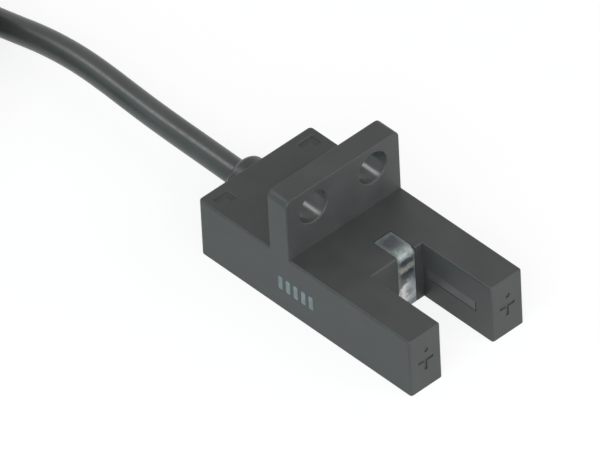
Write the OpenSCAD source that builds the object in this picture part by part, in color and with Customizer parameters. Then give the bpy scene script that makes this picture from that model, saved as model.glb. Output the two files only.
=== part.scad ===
// Fork photoelectric sensor: a hollow moulded fork with a mounting flange on its back, closed from
// below by a base cover, with the beam's optics and the board inside and a round cable out of the end.
// X runs across the fork, Y from the fork's tips to the cable, Z up. The origin is the bottom centre
// of the housing. All sizes are in millimetres.

/* [Housing] */
// Width across the two arms
body_w = 13.4; // [13:0.1:14.6]
// Length from the fork's tips to the cable end
body_l = 26.6; // [26:0.1:30]
// Height of the body and of the arms
body_h = 6.25; // [6:0.05:7]
// Thickness of the body's side and end walls
wall_t = 0.8; // [0.7:0.05:1]
// Thickness of the roof
roof_t = 0.8; // [0.6:0.05:0.95]
// Thickness of the walls of the arms
arm_wall_t = 0.7; // [0.6:0.05:0.75]
// Radius of the upright corners at the cable end
rear_r = 0.4; // [0.35:0.05:1]
// Radius of the upright edges of the fork's tips
tip_r = 0.25; // [0.25:0.05:0.5]
// Radius of the top edges
edge_r = 0.2; // [0.1:0.05:0.25]

/* [Fork] */
// Width of the slot between the arms
slot_w = 6; // [5.6:0.1:6.2]
// Depth of the slot, from the tips to its end wall
slot_d = 8.6; // [8.4:0.1:9.2]
// Height of the light beam above the base
beam_z = 2.9; // [2.7:0.05:3.1]
// Distance from the fork's tips to the light beam
beam_in = 2.7; // [2.5:0.05:3]

/* [Windows] */
// Length of the slit in an arm's inner wall
window_l = 6; // [5:0.1:6.2]
// Height of the slit
window_h = 1; // [0.8:0.05:1.3]
// Distance from the slot's end wall to the slit
window_start = 0.6; // [0.4:0.05:0.8]
// Depth of the window's face behind the wall's face
window_recess = 0.15; // [0.05:0.05:0.3]
// Thickness of the plate behind the wall
window_plate_t = 0.45; // [0.35:0.05:0.5]
// How far the plate reaches past the slit on every side
window_lip = 0.4; // [0.3:0.05:0.5]

/* [Mounting flange] */
// Thickness of the flange
flange_t = 2.4; // [2:0.1:3]
// Height of the flange above the roof
flange_rise = 6.6; // [6.5:0.05:8]
// Distance from the cable end to the flange's back face
flange_back = 9.1; // [8:0.1:10]
// Radius of the flange's top corners
flange_r = 0.7; // [0.3:0.05:1.2]
// Diameter of the two screw holes
hole_d = 3.2; // [2.8:0.1:3.4]
// Distance between the screw holes
hole_spacing = 7; // [6.6:0.1:7.6]
// Height of the screw holes above the roof
hole_rise = 4.2; // [3.6:0.05:4.4]
// Depth of the chamfer at the holes' mouths
hole_chamfer = 0.2; // [0.1:0.05:0.3]

/* [Light guide] */
// Width of the clear light guide
guide_w = 2; // [1.6:0.1:2.2]
// Distance of the light guide's centre from the fork's middle
guide_x = 1.1; // [0.8:0.1:1.3]
// Length of the light guide along the roof
guide_run = 3; // [2.6:0.1:3.2]
// Radius of its bend over the roof's edge
guide_bend_r = 0.7; // [0.4:0.05:0.75]
// Thickness of the retaining lip under the roof
guide_lip_t = 0.4; // [0.3:0.05:0.5]
// Width of the retaining lip on each side
guide_lip_w = 0.3; // [0.2:0.05:0.4]

/* [Base cover] */
// Thickness of the base cover
cover_t = 0.8; // [0.6:0.05:0.9]
// Thickness of the housing's rim around the base cover
rim_t = 0.4; // [0.3:0.05:0.45]
// Width of the posts that hold the board
post_w = 1; // [0.8:0.05:1.2]
// Wall left beside the cable's seat in the clamp blocks
clamp_wall = 0.5; // [0.4:0.05:0.7]

/* [Circuit board] */
// Thickness of the board
board_t = 0.6; // [0.5:0.05:0.8]
// Height of the board's underside above the base
board_z = 2; // [1.8:0.05:2.1]
// Distance from the cable end to the board's rear edge
board_back = 3.7; // [3.6:0.05:4.2]
// Distance from the board's side edges to the parts beside them
board_margin = 0.7; // [0.5:0.05:0.8]

/* [Parts on the board] */
// Length of a chip resistor
resistor_l = 1.2; // [1:0.05:1.3]
// Width of a chip resistor
resistor_w = 0.7; // [0.5:0.05:0.8]
// Height of a chip resistor
resistor_h = 0.4; // [0.3:0.05:0.6]
// Distance between the resistors of the row
resistor_pitch = 1.6; // [1.5:0.05:1.7]
// Length of a chip capacitor
capacitor_l = 1.7; // [1.5:0.05:1.9]
// Width of a chip capacitor
capacitor_w = 0.9; // [0.7:0.05:1]
// Height of a chip capacitor
capacitor_h = 0.8; // [0.6:0.05:1]
// Height of the moulded chips
chip_h = 1; // [0.8:0.05:1.2]
// Width of the control chip's body
control_w = 2.4; // [2:0.1:2.6]
// Length of the control chip's body
control_l = 3; // [2.6:0.1:3.2]
// Width of the output transistor's body
transistor_w = 1.4; // [1.2:0.05:1.5]
// Length of the output transistor's body
transistor_l = 2.8; // [2.4:0.1:3]
// Width of the protection diode's body
diode_w = 1.5; // [1.3:0.05:1.6]
// Length of the protection diode's body
diode_l = 2.6; // [2.2:0.1:2.7]
// How far the chips' legs stand out
leg_l = 0.5; // [0.4:0.05:0.6]
// Length of the indicator light's carrier
indicator_l = 1.6; // [1.4:0.05:1.7]
// Width of the indicator light
indicator_w = 0.8; // [0.6:0.05:0.9]
// Height of the indicator light
indicator_h = 0.6; // [0.5:0.05:0.7]

/* [Emitter and receiver] */
// Width of a package along the arm
optic_w = 2.6; // [2.2:0.1:2.8]
// Height of a package
optic_h = 3.2; // [2.8:0.1:3.4]
// Thickness of a package without its lens
optic_t = 1.1; // [0.9:0.05:1.2]
// Radius of the lens
lens_r = 0.7; // [0.5:0.05:0.8]
// How far the lens stands out of the package
lens_rise = 0.45; // [0.3:0.05:0.5]
// Width of a lead
lead_w = 0.3; // [0.25:0.05:0.35]
// Thickness of a lead
lead_t = 0.2; // [0.15:0.05:0.25]
// Distance of the leads behind the package's front face
lead_inset = 0.15; // [0.1:0.05:0.2]
// Thickness of the ribs that hold a package at both ends
rib_t = 0.5; // [0.4:0.05:0.6]
// How far the ribs reach down over the package
rib_reach = 0.5; // [0.4:0.05:0.6]

/* [Cable] */
// Diameter of the cable
cable_d = 2.5; // [2.3:0.05:2.6]
// Height of the cable's axis where it leaves the housing
cable_z = 3.45; // [3.2:0.05:3.45]
// Diameter of a core wire
core_d = 0.7; // [0.6:0.05:0.8]
// Outside diameter of the bushing
bushing_d = 4.6; // [4.2:0.1:5]
// How far the bushing stands out of the cable end
bushing_out = 1.7; // [1.4:0.1:2]
// Diameter of the bushing's neck in the wall
bushing_neck_d = 3.4; // [3.2:0.05:3.6]
// Diameter of the bushing's collar inside the wall
bushing_collar_d = 3.9; // [3.7:0.05:3.95]
// Thickness of the bushing's collar inside the wall
bushing_collar = 0.8; // [0.6:0.05:0.9]
// Length of the crimped ring behind the bushing
crimp_l = 1.2; // [0.9:0.05:1.3]
// Wall thickness of the crimped ring
crimp_t = 0.35; // [0.25:0.05:0.45]

/* [Stored coil] */
// Radius of the coil at the middle of its turns
coil_mid_r = 14.5; // [14:0.05:15.5]
// Distance between neighbouring turns
turn_pitch = 2.55; // [2.5:0.05:2.7]
// Width of the tie around the coil
tie_w = 2.4; // [1.8:0.1:3.5]
// Thickness of the tie
tie_t = 0.35; // [0.25:0.05:0.5]
// Length of the tie's twisted ends
twist_l = 7; // [5:0.5:8]
// Thickness of the tie's twisted ends
twist_d = 1.2; // [1:0.1:1.5]
// Length of the bare cores at the far end
core_tail = 18; // [14:0.5:20]

/* [Hidden] */
$fn = 64;

// Clearance round a piece that drops into its seat
fit = 0.04;
// Overshoot of a cutter past the face it cuts
over = 0.5;
half_w = body_w / 2;
half_l = body_l / 2;
slot_end = slot_d - half_l;
arm_w = (body_w - slot_w) / 2;
cavity_top = body_h - roof_t;

// Flange, seen from the side
flange_y1 = half_l - flange_back;
flange_y0 = flange_y1 - flange_t;
flange_top = body_h + flange_rise;
hole_z = body_h + hole_rise;
hole_r = hole_d / 2;

// Light guide
guide_x0 = guide_x - guide_w / 2;
guide_x1 = guide_x + guide_w / 2;
guide_back = slot_end + guide_run;
guide_foot_l = 1.3;

// Board and what stands on it
board_top = board_z + board_t;
board_y0 = slot_end + wall_t + 0.3;
board_y1 = half_l - board_back;
board_w = body_w - 2 * wall_t - 0.3;
lead_rest = 1.2;
post_edge = 0.3;
post_front = [guide_x1 + guide_lip_w + 0.4 + post_w / 2, board_y0 + post_edge + post_w / 2];
post_rear = [half_w - wall_t - 0.5 - post_w / 2, board_y1 - post_edge - post_w / 2];
core_hole_y = board_y1 - 1.5;
indicator_y = slot_end + guide_run - guide_foot_l / 2;

// Parts on the board, measured from its side edges and its front edge
part_gap = 0.2;
row_x = board_margin + resistor_w / 2;
row_y = lead_rest + part_gap + resistor_l / 2;
row_count = 5;
control_x = row_x + resistor_w / 2 + 2 * part_gap + leg_l + control_w / 2;
control_y = row_y + (row_count - 1) / 2 * resistor_pitch;
control_cap_y = control_y + control_l / 2 + 2 * part_gap + capacitor_w / 2;
supply_cap_x = part_gap + capacitor_l / 2;
power_x = supply_cap_x + capacitor_l / 2 + part_gap + leg_l + transistor_w / 2;
diode_y = guide_back - board_y0 + part_gap + diode_l / 2;
transistor_y = diode_y + diode_l / 2 + leg_l + part_gap + transistor_l / 2;
supply_cap_y = (diode_y + transistor_y) / 2;

// Windows and packages, measured in the right arm and mirrored into the left
arm_in = slot_w / 2;
window_y0 = slot_end - window_start - window_l;
beam_y = beam_in - half_l;
plate_x = arm_in + arm_wall_t;
optic_x = plate_x + window_plate_t + 0.05 + lens_rise;
optic_top = beam_z + optic_h / 2;

// Bushing and crimped ring, from the outside inwards
bushing_y = half_l + bushing_out;
collar_y = half_l - wall_t - bushing_collar;
crimp_y = collar_y - 0.1 - crimp_l;
crimp_r = cable_d / 2 + crimp_t;
jacket_y = crimp_y - 0.15;
clamp_w = bushing_collar_d + 2 * clamp_wall;

// Cable, as it lies: chosen by hand, straight out of the bushing and down to the floor
coil_y = 56.3;
cable_route = [
    [0, jacket_y, cable_z], [0, bushing_y, cable_z], [0.05, 18, 3.45], [0.09, 21, 3.45],
    [0.13, 24, 3.45], [0.21, 27, 3.45], [0.35, 30, 3.45], [0.52, 33, 3.43], [0.62, 36, 3.35],
    [0.62, 39, 3.11], [0.54, 42, 2.66], [0.37, 45, 2.08], [0.18, 48, 1.56], [0.05, 51, 1.27],
    [0, 54, 1.25], [0, coil_y, 1.25]
];
turns_across = 4;
layer_count = 3;
layers_full = layer_count - 1;
track_out_r = coil_mid_r + (turns_across - 1) / 2 * turn_pitch;
coil_out_r = track_out_r + cable_d / 2;
coil_in_r = track_out_r - (turns_across - 1) * turn_pitch - cable_d / 2;
coil_h = layer_count * cable_d;
// The top layer has two whole turns and a third over this stretch, and its inmost track stays free
last_r = track_out_r - 2 * turn_pitch;
last_from = -180;
last_to = 94.5;
tie_angle = 60;

// Rectangle about its centre with round corners
module round_rect(w, l, r) {
    square([w - 2 * r, l], center = true);
    square([w, l - 2 * r], center = true);
    for (x = [-1, 1], y = [-1, 1])
        translate([x * (w / 2 - r), y * (l / 2 - r)]) circle(r);
}

// Section between a sharp edge at the origin and its rounding
module edge_section(r) {
    difference() {
        translate([-r, -r]) square(r + over);
        translate([-r, -r]) circle(r);
    }
}

// Rounds a straight top edge that faces +X, over a length along +Y
module round_edge(l, r) {
    rotate([90, 0, 0]) translate([0, 0, -l]) linear_extrude(l) edge_section(r);
}

// Rounds the top edge of a quarter corner, about the corner's own upright axis
module round_corner(corner_r, r, angle) {
    rotate([0, 0, angle]) rotate_extrude(angle = 90) translate([corner_r, 0]) edge_section(r);
}

// Body and fork seen from above, with every side moved inwards by the inset
module fork_outline(inset, r_back, r_tip) {
    side_x = half_w - inset;
    back_y = half_l - inset;
    neck_y = slot_end + inset;
    arm = arm_w - 2 * inset;
    translate([-side_x, neck_y]) square([2 * side_x, back_y - r_back - neck_y]);
    translate([r_back - side_x, neck_y]) square([2 * (side_x - r_back), back_y - neck_y]);
    for (side = [0, 1]) mirror([side, 0]) {
        translate([side_x - r_back, back_y - r_back]) circle(r_back);
        translate([side_x - arm, r_tip - back_y]) square([arm, neck_y + over + back_y - r_tip]);
        translate([side_x - arm + r_tip, -back_y]) square([arm - 2 * r_tip, 2 * r_tip]);
        for (x = [side_x - r_tip, side_x - arm + r_tip]) translate([x, r_tip - back_y]) circle(r_tip);
    }
}

// Everything that rounds the top edges of the body, the arms and the slot
module top_edges() {
    translate([0, 0, body_h]) {
        for (side = [0, 1]) mirror([side, 0, 0]) {
            translate([half_w, flange_y1, 0]) round_edge(half_l - rear_r - flange_y1, edge_r);
            translate([half_w, tip_r - half_l, 0]) round_edge(flange_y0 + half_l - tip_r, edge_r);
            translate([half_w - rear_r, half_l - rear_r, 0]) round_corner(rear_r, edge_r, 0);
            translate([half_w - tip_r, tip_r - half_l, 0]) round_corner(tip_r, edge_r, -90);
            translate([arm_in + tip_r, tip_r - half_l, 0]) round_corner(tip_r, edge_r, 180);
            translate([arm_in + tip_r, -half_l, 0]) rotate([0, 0, -90])
                round_edge(arm_w - 2 * tip_r, edge_r);
            translate([-arm_in, tip_r - half_l, 0]) round_edge(slot_d - tip_r, edge_r);
        }
        translate([half_w - rear_r, half_l, 0]) rotate([0, 0, 90]) round_edge(body_w - 2 * rear_r, edge_r);
    }
}

// Hollow for the board, open below, with one branch into each arm
module cavity() {
    translate([wall_t - half_w, slot_end + wall_t, -over])
        cube([body_w - 2 * wall_t, half_l - slot_end - 2 * wall_t, cavity_top + over]);
    for (side = [0, 1]) mirror([side, 0, 0])
        translate([arm_in + arm_wall_t, arm_wall_t - half_l, -over])
            cube([arm_w - 2 * arm_wall_t, slot_d + wall_t - arm_wall_t + over, cavity_top + over]);
    translate([0, 0, -over]) linear_extrude(cover_t + over) fork_outline(rim_t, 0.3, 0.1);
}

// Place of the light guide: through the roof, over the edge and down the slot's end wall
module guide_seat() {
    translate([guide_x0 - fit, slot_end - over, -over])
        cube([guide_w + 2 * fit, wall_t + over + fit, body_h + 2 * over]);
    translate([guide_x0 - fit, slot_end - over, cavity_top - over])
        cube([guide_w + 2 * fit, guide_run + over + fit, roof_t + 2 * over]);
}

// Optical axis mark on a fork tip: a pip over a cross line with a short tick, all sunk in
module axis_mark() {
    depth = 0.12;
    translate([half_w - arm_w / 2, -half_l, beam_z]) {
        translate([0.1, depth, 1.35]) rotate([90, 0, 0]) cylinder(r = 0.24, h = depth + over);
        translate([-0.85, -over, 0.1]) cube([1.7, depth + over, 0.3]);
        translate([-0.15, -over, -0.85]) cube([0.3, depth + over, 1.1]);
    }
}

// Shallow hooked recess in the roof, one near each rear corner
module hook_recess() {
    depth = 0.3;
    line = 0.35;
    translate([0, half_l - 1.35, body_h - depth]) {
        cube([1.5, line, depth + over]);
        translate([1.5 - line, -0.7, 0]) cube([line, 0.8, depth + over]);
    }
}

module flange() {
    difference() {
        translate([0, flange_y1, 0]) rotate([90, 0, 0]) linear_extrude(flange_t) {
            translate([0, (cavity_top + flange_top) / 2 + flange_r / 2])
                round_rect(body_w, flange_top - cavity_top - flange_r, flange_r);
            translate([-half_w, cavity_top]) square([body_w, flange_top - cavity_top - flange_r]);
        }
        for (side = [-1, 1]) translate([side * hole_spacing / 2, flange_y0, hole_z]) rotate([-90, 0, 0]) {
            translate([0, 0, -over]) cylinder(r = hole_r, h = flange_t + 2 * over);
            for (end = [0, 1]) translate([0, 0, end * flange_t]) mirror([0, 0, end])
                translate([0, 0, -over])
                    cylinder(r1 = hole_r + hole_chamfer + over, r2 = hole_r, h = hole_chamfer + over);
        }
    }
}

// Ribs under the roof that stand over both ends of a package, in each arm
module optic_ribs() {
    foot = optic_top - rib_reach;
    for (side = [0, 1], end = [-1, 1]) mirror([side, 0, 0])
        translate([plate_x - 0.1, beam_y + end * optic_w / 2 - rib_t / 2, foot])
            cube([arm_w - 2 * arm_wall_t + 0.2, rib_t, cavity_top - foot + 0.1]);
}

// Room for a package in each arm, from below, with its clearance on every side
module optic_seats() {
    for (side = [0, 1]) mirror([side, 0, 0])
        translate([optic_x - fit, beam_y - optic_w / 2 - fit, -over])
            cube([optic_t + 2 * fit, optic_w + 2 * fit, optic_top + fit + over]);
}

// Block that holds the bushing's collar and the crimped ring, between two heights
module clamp_block(z0, z1, end_gap) {
    translate([-clamp_w / 2, crimp_y, z0]) cube([clamp_w, half_l - wall_t - end_gap - crimp_y, z1 - z0]);
}

// Stepped seat in the clamp blocks
module clamp_seat() {
    translate([0, crimp_y - over, cable_z]) rotate([-90, 0, 0])
        cylinder(r = crimp_r + fit, h = crimp_l + 2 * over);
    translate([0, collar_y - fit, cable_z]) rotate([-90, 0, 0])
        cylinder(r = bushing_collar_d / 2 + fit, h = bushing_collar + fit);
}

module housing() {
    color("#26282a") {
        difference() {
            union() {
                difference() {
                    linear_extrude(body_h) fork_outline(0, rear_r, tip_r);
                    top_edges();
                    cavity();
                }
                optic_ribs();
                clamp_block(cable_z, cavity_top + 0.1, -0.1);
            }
            optic_seats();
            clamp_seat();
            guide_seat();
            for (side = [0, 1]) mirror([side, 0, 0]) {
                translate([arm_in - over, window_y0, beam_z - window_h / 2])
                    cube([arm_wall_t + 2 * over, window_l, window_h]);
            }
            for (x = [0, arm_w - body_w]) translate([x, 0, 0]) axis_mark();
            for (x = [0.9 - half_w, half_w - 2.4]) translate([x, 0, 0]) hook_recess();
            translate([0, half_l + over, cable_z]) rotate([90, 0, 0])
                cylinder(r = bushing_neck_d / 2 + fit, h = wall_t + 2 * over);
        }
        flange();
        for (p = [post_front, post_rear], side = [-1, 1])
            translate([side * p[0] - post_w / 2, p[1] - post_w / 2, board_top])
                cube([post_w, post_w, cavity_top - board_top + 0.1]);
    }
}

// Fork-shaped plate in the rim, with a post under each corner of the board, a pad under each
// package and the lower half of the cable's clamp
module base_cover() {
    color("#1f2122") {
        difference() {
            linear_extrude(cover_t) fork_outline(rim_t + fit, 0.25, 0.1);
            translate([guide_x0 - 2 * fit, slot_end - over, -over])
                cube([guide_w + 4 * fit, wall_t + over + 2 * fit, cover_t + 2 * over]);
        }
        for (p = [post_front, post_rear], side = [-1, 1])
            translate([side * p[0] - post_w / 2, p[1] - post_w / 2, cover_t / 2])
                cube([post_w, post_w, board_z - cover_t / 2]);
        for (side = [0, 1]) mirror([side, 0, 0])
            translate([optic_x, beam_y - optic_w / 2 + 0.3, cover_t / 2])
                cube([optic_t, optic_w - 0.6, optic_top - optic_h - cover_t / 2]);
        difference() {
            clamp_block(cover_t / 2, cable_z - fit, fit);
            clamp_seat();
        }
    }
}

// Clear strip that carries the indicator's light to the roof and down the slot's end wall
module light_guide() {
    foot_z = board_top + 0.75;
    color("#cfd9da", 0.6) {
        translate([guide_x1, 0, 0]) rotate([0, -90, 0]) linear_extrude(guide_w) {
            difference() {
                translate([0.05, slot_end]) square([body_h - 0.05, wall_t]);
                translate([body_h - guide_bend_r, slot_end]) square([over + guide_bend_r, guide_bend_r]);
            }
            translate([body_h - guide_bend_r, slot_end + guide_bend_r]) circle(guide_bend_r);
            translate([cavity_top, slot_end + guide_bend_r]) square([roof_t, guide_run - guide_bend_r]);
            translate([foot_z, guide_back - guide_foot_l]) square([cavity_top - foot_z, guide_foot_l]);
        }
        translate([guide_x0 - guide_lip_w, slot_end + wall_t + 2 * fit, cavity_top - guide_lip_t])
            cube([guide_w + 2 * guide_lip_w, guide_run - wall_t - 2 * fit, guide_lip_t - fit]);
    }
}

// Dark filter in an arm's inner wall: a plate inside the arm with a raised land in the slit
module window() {
    translate([plate_x + fit, window_y0 - window_lip, beam_z - window_h / 2 - window_lip])
        cube([window_plate_t - fit, window_l + window_lip - fit, window_h + 2 * window_lip]);
    translate([arm_in + window_recess, window_y0 + fit, beam_z - window_h / 2 + fit])
        cube([arm_wall_t, window_l - 2 * fit, window_h - 2 * fit]);
}

module emitter_window() {
    color("#1a1b22") mirror([1, 0, 0]) window();
}

module receiver_window() {
    color("#1a1b22") window();
}

// Side-looking package with a round lens towards the slot. Its leads lie in one plane and run back
// along the arm: one under the board, one on it, and a third above that is bent down to the board
module optic(lead_count) {
    rear = beam_y + optic_w / 2;
    translate([optic_x, beam_y - optic_w / 2, optic_top - optic_h]) cube([optic_t, optic_w, optic_h]);
    translate([optic_x - lens_rise, beam_y, beam_z]) rotate([0, 90, 0]) {
        intersection() {
            translate([0, 0, lens_r]) sphere(lens_r);
            cylinder(r = lens_r, h = lens_r);
        }
        translate([0, 0, lens_r * 0.999 - 0.001]) cylinder(r = lens_r, h = optic_t / 2);
    }
    translate([optic_x + lead_inset, rear - 0.1, 0]) for (i = [0 : lead_count - 1]) {
        z = [board_z - lead_w, board_top, board_top + 0.8][i];
        run = board_y0 + lead_rest - rear + 0.1 + (i == 2 ? lead_w + 0.2 : 0);
        translate([0, 0, z]) cube([lead_t, run, lead_w]);
        if (i == 2) translate([0, run - lead_w, board_top]) cube([lead_t, lead_w, z - board_top + 0.1]);
    }
}

module infrared_emitter() {
    color("#c9b8c4") mirror([1, 0, 0]) optic(2);
}

module light_receiver() {
    color("#17181b") optic(3);
}

module circuit_board() {
    color("#1f5a38") difference() {
        translate([-board_w / 2, board_y0, board_z]) cube([board_w, board_y1 - board_y0, board_t]);
        for (i = [0 : 3]) translate([core_hole_x(i), core_hole_y, board_z - over])
            cylinder(r = core_d / 2 - 0.1, h = board_t + 2 * over);
    }
}

// Moves a part onto the board: x from its left (-1) or right (1) edge, y from its front edge
module on_board(side, x, y) {
    translate([side * (board_w / 2 - x), board_y0 + y, board_top]) children();
}

// Moulded body with a row of bent legs along its two long sides
module legged_chip(w, l, legs, leg_w) {
    lift = 0.1;
    leg_t = 0.16;
    translate([-w / 2, -l / 2, lift]) cube([w, l, chip_h - lift]);
    for (side = [0, 1], i = [0 : legs - 1]) mirror([side, 0, 0])
        translate([w / 2, (i + 0.5) * l / legs - (l + leg_w) / 2, 0]) {
            translate([-0.1, 0, chip_h / 2]) cube([leg_l + 0.1, leg_w, leg_t]);
            translate([leg_l - leg_t, 0, 0]) cube([leg_t, leg_w, chip_h / 2 + leg_t]);
        }
}

// Plain chip, lying on the board
module chip_part(l, w, h) {
    translate([-l / 2, -w / 2, 0]) cube([l, w, h]);
}

module control_chip() {
    color("#232427") on_board(-1, control_x, control_y) legged_chip(control_w, control_l, 4, 0.25);
}

module output_transistor() {
    color("#232427") on_board(1, power_x, transistor_y) legged_chip(transistor_w, transistor_l, 2, 0.4);
}

module protection_diode() {
    color("#2b2b2d") on_board(1, power_x, diode_y) rotate([0, 0, 90])
        legged_chip(diode_l, diode_w, 1, 0.6);
}

module indicator_led() {
    color("#e8e4cc") translate([guide_x, indicator_y, board_top]) {
        chip_part(indicator_l, indicator_w, indicator_h / 2);
        chip_part(indicator_l - 0.6, indicator_w, indicator_h);
    }
}

module chip_resistors() {
    color("#34343a") for (i = [0 : row_count - 1])
        on_board(-1, row_x, row_y + i * resistor_pitch) rotate([0, 0, 90])
            chip_part(resistor_l, resistor_w, resistor_h);
}

module chip_capacitors() {
    color("#b08f63") {
        on_board(-1, control_x, control_cap_y) chip_part(capacitor_l, capacitor_w, capacitor_h);
        on_board(1, supply_cap_x, supply_cap_y) chip_part(capacitor_l, capacitor_w, capacitor_h);
    }
}

// Soft bushing: a round boss outside, a neck in the wall and a collar inside, round the cable
module cable_bushing() {
    lip_r = 0.5;
    length = bushing_y - collar_y;
    color("#242628") translate([0, collar_y, cable_z]) rotate([-90, 0, 0]) difference() {
        union() {
            cylinder(r = bushing_collar_d / 2, h = bushing_collar - fit);
            cylinder(r = bushing_neck_d / 2, h = length - bushing_out / 2);
            translate([0, 0, bushing_collar + wall_t + fit])
                cylinder(r = bushing_d / 2, h = bushing_out - lip_r - fit);
            translate([0, 0, length - lip_r]) rotate_extrude() {
                translate([bushing_d / 2 - lip_r, 0]) circle(lip_r);
                square([bushing_d / 2 - lip_r, lip_r]);
            }
        }
        translate([0, 0, -over]) cylinder(r = cable_d / 2 + 0.02, h = length + 2 * over);
    }
}

// Metal ring crimped on the jacket: it stops the cable from being pulled out through the bushing
module crimp_ring() {
    color("#b9bcc0") translate([0, crimp_y, cable_z]) rotate([-90, 0, 0]) difference() {
        cylinder(r = crimp_r, h = crimp_l);
        translate([0, 0, -over]) cylinder(r = cable_d / 2 + 0.02, h = crimp_l + 2 * over);
    }
}

function unit(v) = v / norm(v);

// Direction of a path at one of its points
function path_dir(path, i) =
    let (a = path[max(0, i - 1)], b = path[min(len(path) - 1, i + 1)]) unit(b - a);

// One ring of points round a path, square to it
function path_ring(path, i, r, sides) =
    let (
        d = path_dir(path, i),
        across = unit(cross(abs(d[2]) > 0.9 ? [0, 1, 0] : [0, 0, 1], d)),
        up = cross(d, across)
    ) [for (k = [0 : sides - 1]) let (a = (k + 0.5) * 360 / sides)
        path[i] + r * (cos(a) * across + sin(a) * up)];

// Round tube along a path, closed flat at both ends
module tube(path, r, sides) {
    rings = len(path);
    points = [for (i = [0 : rings - 1]) each path_ring(path, i, r, sides)];
    walls = [for (i = [0 : rings - 2], k = [0 : sides - 1]) let (n = (k + 1) % sides)
        [i * sides + k, i * sides + n, (i + 1) * sides + n, (i + 1) * sides + k]];
    ends = [[for (k = [0 : sides - 1]) sides - 1 - k], [for (k = [0 : sides - 1]) (rings - 1) * sides + k]];
    polyhedron(points = points, faces = concat(walls, ends), convexity = 6);
}

module cable() {
    color("#2b2d2e") tube(cable_route, cable_d / 2, 8);
}

// Place of a core in the jacket's section
function core_spot(i) = let (a = 45 + 90 * i, s = (core_d / 2 + 0.12) * sqrt(2)) [s * cos(a), s * sin(a)];

// Places of the cores' holes across the board
function core_hole_x(i) = [0.75, -0.75, -2.25, 2.25][i];

// A core from the jacket's end down into its hole in the board
function core_inner(i) = let (
        s = core_spot(i),
        x1 = core_hole_x(i),
        z0 = cable_z + s[1],
        z1 = board_top + 1.1
    ) [
        [s[0], jacket_y, z0], [s[0], jacket_y - 0.3, z0],
        [s[0] + (x1 - s[0]) * 0.5, (jacket_y + core_hole_y) / 2 + 0.1, (z0 + z1) / 2],
        [x1, core_hole_y + 0.4, z1 - 0.1], [x1, core_hole_y + 0.05, z1 - 0.45],
        [x1, core_hole_y, board_top + 0.4], [x1, core_hole_y, board_top]
    ];

// A core's bare end, lying along the rest of the last turn's track: it starts square to the
// jacket's end face, settles on the layer below and drifts inwards
function core_outer(i) = let (
        s = core_spot(i),
        z0 = coil_h - cable_d / 2 + s[1],
        drop = cable_d / 2 - core_d - 0.15,
        drift = 1.3,
        steps = 11,
        start = [cos(last_to), sin(last_to), 0] * (last_r + s[0]) + [-track_out_r, coil_y, z0]
    ) concat(
        [start, start + 0.4 * [-sin(last_to), cos(last_to), 0]],
        [for (k = [1 : steps]) let (
                t = k / steps,
                a = last_to + core_tail * t / last_r * 180 / PI,
                r = last_r + s[0] * (1 + 0.35 * t) - drift * t * t
            ) [-track_out_r + r * cos(a), coil_y + r * sin(a), z0 - drop * min(1, 3 * t)]
        ]
    );

module core(i) {
    tube(core_inner(i), core_d / 2, 8);
    tube(core_outer(i), core_d / 2, 8);
}

module core_brown() {
    color("#6b4226") core(0);
}

module core_black() {
    color("#1c1c1e") core(1);
}

module core_white() {
    color("#e6e4de") core(2);
}

module core_blue() {
    color("#2b5fa8") core(3);
}

// Outer shape of the coil: two layers of four turns and a third of nearly three, with a notch for
// the incoming cable and a groove for the tie
module cable_coil() {
    edge = cable_d / 2;
    color("#2b2d2e") difference() {
        translate([-track_out_r, coil_y, 0]) {
            rotate_extrude($fn = 96) {
                translate([coil_in_r, 0]) square([coil_out_r - coil_in_r, layers_full * cable_d]);
                translate([last_r + edge, 0]) square([coil_out_r - last_r - 2 * edge, coil_h]);
                translate([coil_out_r - edge, coil_h - edge]) circle(edge);
                translate([coil_out_r - edge, coil_h - cable_d - 0.5]) square([edge, cable_d / 2 + 0.5]);
            }
            rotate([0, 0, last_from]) rotate_extrude(angle = last_to - last_from, $fn = 96)
                translate([last_r - edge, coil_h - cable_d - 0.5]) square([cable_d + 0.5, cable_d + 0.5]);
        }
        translate([-cable_d / 2 - 0.1, coil_y - 14, -over]) cube([14, 14, cable_d + 0.2 + over]);
        translate([-track_out_r, coil_y, 0]) rotate([0, 0, tie_angle])
            translate([0, -tie_w / 2 - 0.1, -over]) cube([coil_out_r + 1, tie_w + 0.2, tie_t + 0.05 + over]);
    }
}

// Flat tie round all the turns, with its twisted ends lying on top
module coil_tie() {
    slack = 0.05;
    inner = [
        [coil_in_r - slack - 0.12, tie_t], [coil_out_r + slack, tie_t], [coil_out_r + slack, coil_h + slack],
        [last_r - cable_d / 2 - slack, coil_h + slack],
        [coil_in_r - slack - 0.12, layers_full * cable_d + slack]
    ];
    outer = [
        [inner[0][0] - tie_t, 0], [inner[1][0] + tie_t, 0], [inner[2][0] + tie_t, inner[2][1] + tie_t],
        [inner[3][0] - 0.2, inner[3][1] + tie_t], [inner[4][0] - tie_t, inner[4][1] + 0.25]
    ];
    color("#d9d9d4") translate([-track_out_r, coil_y, 0]) rotate([0, 0, tie_angle]) {
        translate([0, tie_w / 2, 0]) rotate([90, 0, 0]) linear_extrude(tie_w) difference() {
            polygon(outer);
            polygon(inner);
        }
        translate([track_out_r - 2, 0, coil_h + slack + tie_t + twist_d / 3]) rotate([-90, 0, 0])
            cylinder(r = twist_d / 2, h = twist_l);
    }
}

housing();
base_cover();
light_guide();
emitter_window();
receiver_window();
infrared_emitter();
light_receiver();
circuit_board();
control_chip();
output_transistor();
protection_diode();
indicator_led();
chip_resistors();
chip_capacitors();
cable_bushing();
crimp_ring();
cable();
core_brown();
core_black();
core_white();
core_blue();
cable_coil();
coil_tie();
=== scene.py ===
import math

import bmesh
import bpy
from mathutils import Matrix, Vector


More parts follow.
